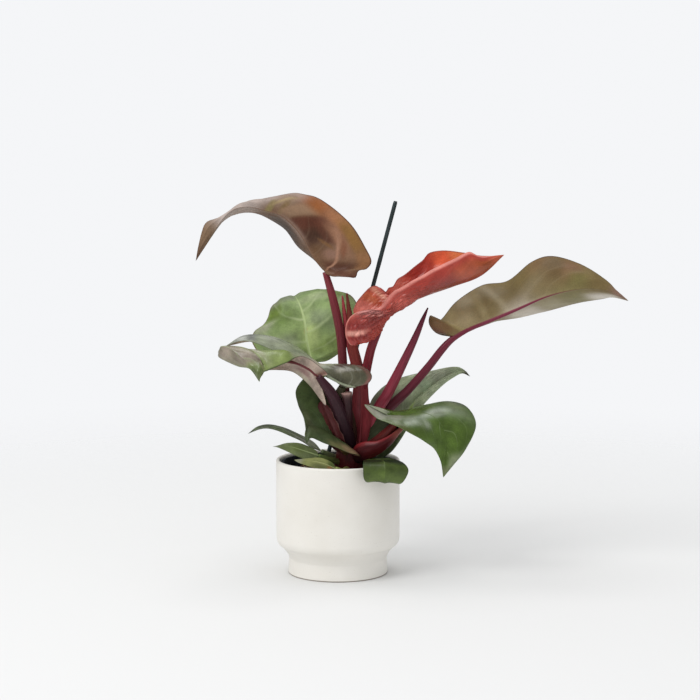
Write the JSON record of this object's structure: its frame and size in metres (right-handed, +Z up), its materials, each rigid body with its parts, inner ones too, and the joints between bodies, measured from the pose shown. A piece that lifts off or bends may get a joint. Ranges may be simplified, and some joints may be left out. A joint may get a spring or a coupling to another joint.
{
  "type": "potted philodendron",
  "caption": "Potted aroid house plant: broad green, bronze and orange-red leaves on dark red stalks with a slim stake, in a nursery pot inside a plain off-white cover pot.",
  "frame": {"origin": "centre of the cover pot's flat underside", "axes": "+Z up along the pot's axis, +X towards the long right-hand leaf, -Y towards the viewer"},
  "size_m": [0.4845, 0.2424, 0.4299],
  "materials": {
    "cover_pot": "matte off-white",
    "nursery_pot": "satin",
    "potting_mix": "rough, dark brown, loose",
    "support_stake": "satin dark green",
    "stems": "glossy, dark red to crimson",
    "old_leaf": "glossy green with pale veins",
    "bronze_leaf": "satin bronze and olive",
    "new_leaf": "glossy orange-red, crinkled"
  },
  "bodies": {
    "root": {"cover_pot": "cover_pot", "nursery_pot": "nursery_pot", "potting_mix": "potting_mix", "support_stake": "support_stake", "stems_and_sheaths": "stems", "leaf_upper_left": "bronze_leaf", "leaf_red_new": "new_leaf", "leaf_right": "bronze_leaf", "leaf_back_left": "old_leaf", "leaf_left_rear": "old_leaf", "leaf_left_front": "old_leaf", "leaf_low_dark": "old_leaf", "leaf_right_front": "old_leaf", "leaf_right_rear": "old_leaf", "leaf_low_thin": "old_leaf", "leaf_low_mid": "old_leaf", "leaf_low_pale": "old_leaf", "leaf_rim_curl": "old_leaf"}
  },
  "joints": []
}
